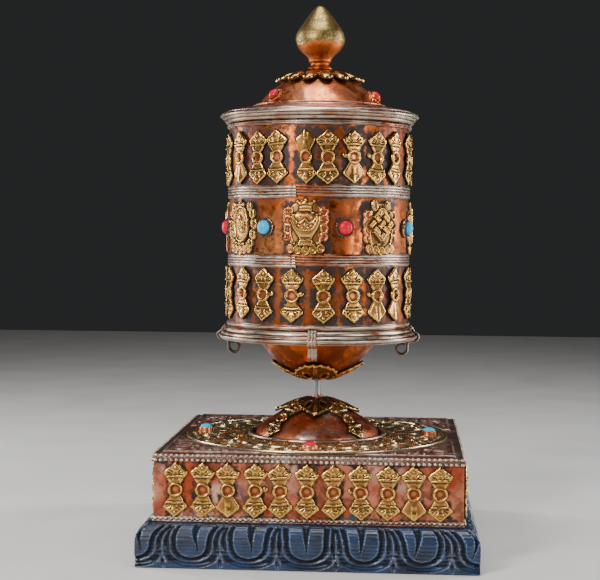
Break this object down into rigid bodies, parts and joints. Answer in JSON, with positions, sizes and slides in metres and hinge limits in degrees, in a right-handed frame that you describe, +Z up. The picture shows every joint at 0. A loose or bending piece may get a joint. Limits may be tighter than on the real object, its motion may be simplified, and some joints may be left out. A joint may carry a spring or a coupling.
{
  "type": "table-top prayer wheel",
  "caption": "Table-top prayer wheel: an embossed copper drum that spins on a steel spindle above a square copper-clad stand on a carved wooden plinth, with a lift-off domed lid.",
  "frame": {"origin": "on the table under the middle of the plinth, on the spindle's axis", "axes": "+Z up along the spindle, front of the stand facing -Y, +X to the right seen from the front"},
  "size_m": [0.175, 0.175, 0.2958],
  "materials": {
    "copper": "worn sheet copper with dark patina",
    "brass": "antique pressed brass, dark in the recesses",
    "silvered": "silvered copper, worn through to the copper",
    "bezel_metal": "oxidised copper collar",
    "steel": "plain drawn steel",
    "coral": "polished",
    "turquoise": "polished",
    "painted_wood": "black paint over carved wood, worn grey at the edges",
    "plain_wood": "unfinished",
    "paper": "plain, no printing",
    "silk": "plain silk"
  },
  "bodies": {
    "stand": {"plinth": "painted_wood", "base_core": "plain_wood", "box_walls": "copper", "box_top_plate": "copper", "box_top_trim": "silvered", "box_bottom_trim": "silvered", "front_dorjes": "brass", "back_dorjes": "brass", "left_dorjes": "brass", "right_dorjes": "brass", "stand_dome": "copper", "dome_ring": "silvered", "dome_crown": "brass", "dome_dorjes": "brass", "filigree_ring": "silvered", "filigree_scrolls": "brass", "corner_spandrels": "copper", "plate_bezels": "bezel_metal", "plate_corals": "coral", "plate_turquoises": "turquoise", "spindle": "steel", "spindle_collar": "copper", "spindle_nut": "steel", "spindle_washer": "steel", "plinth_screws": "steel"},
    "drum": {"drum_shell": "copper", "upper_rim": "silvered", "upper_band": "silvered", "lower_band": "silvered", "lower_rim": "silvered", "upper_dorje_row": "brass", "lower_dorje_row": "brass", "symbol_parasol": "brass", "symbol_fishes": "brass", "symbol_vase": "brass", "symbol_lotus": "brass", "symbol_conch": "brass", "symbol_knot": "brass", "symbol_banner": "brass", "symbol_wheel": "brass", "drum_bezels": "bezel_metal", "drum_corals": "coral", "drum_turquoises": "turquoise", "bottom_cornice": "silvered", "bowl": "copper", "bowl_rosette": "brass", "cover_clips": "silvered", "bottom_bush": "brass", "core_tube": "plain_wood", "mantra_roll": "paper", "silk_wrap": "silk", "pivot_cup": "brass"},
    "lid": {"lid_dome": "copper", "lid_cornice": "silvered", "petal_collar": "brass", "finial": "brass", "lid_bezels": "bezel_metal", "lid_corals": "coral", "finial_nut": "steel"}
  },
  "joints": [
    {"name": "drum_spin", "type": "hinge", "parent": "stand", "child": "drum", "pos_m": [0, 0, 0.17], "axis": [0, 0, 1], "continuous": true},
    {"name": "lid_lift", "type": "slide", "parent": "drum", "child": "lid", "axis": [0, 0, 1], "range_m": [0, 0.06]}
  ]
}
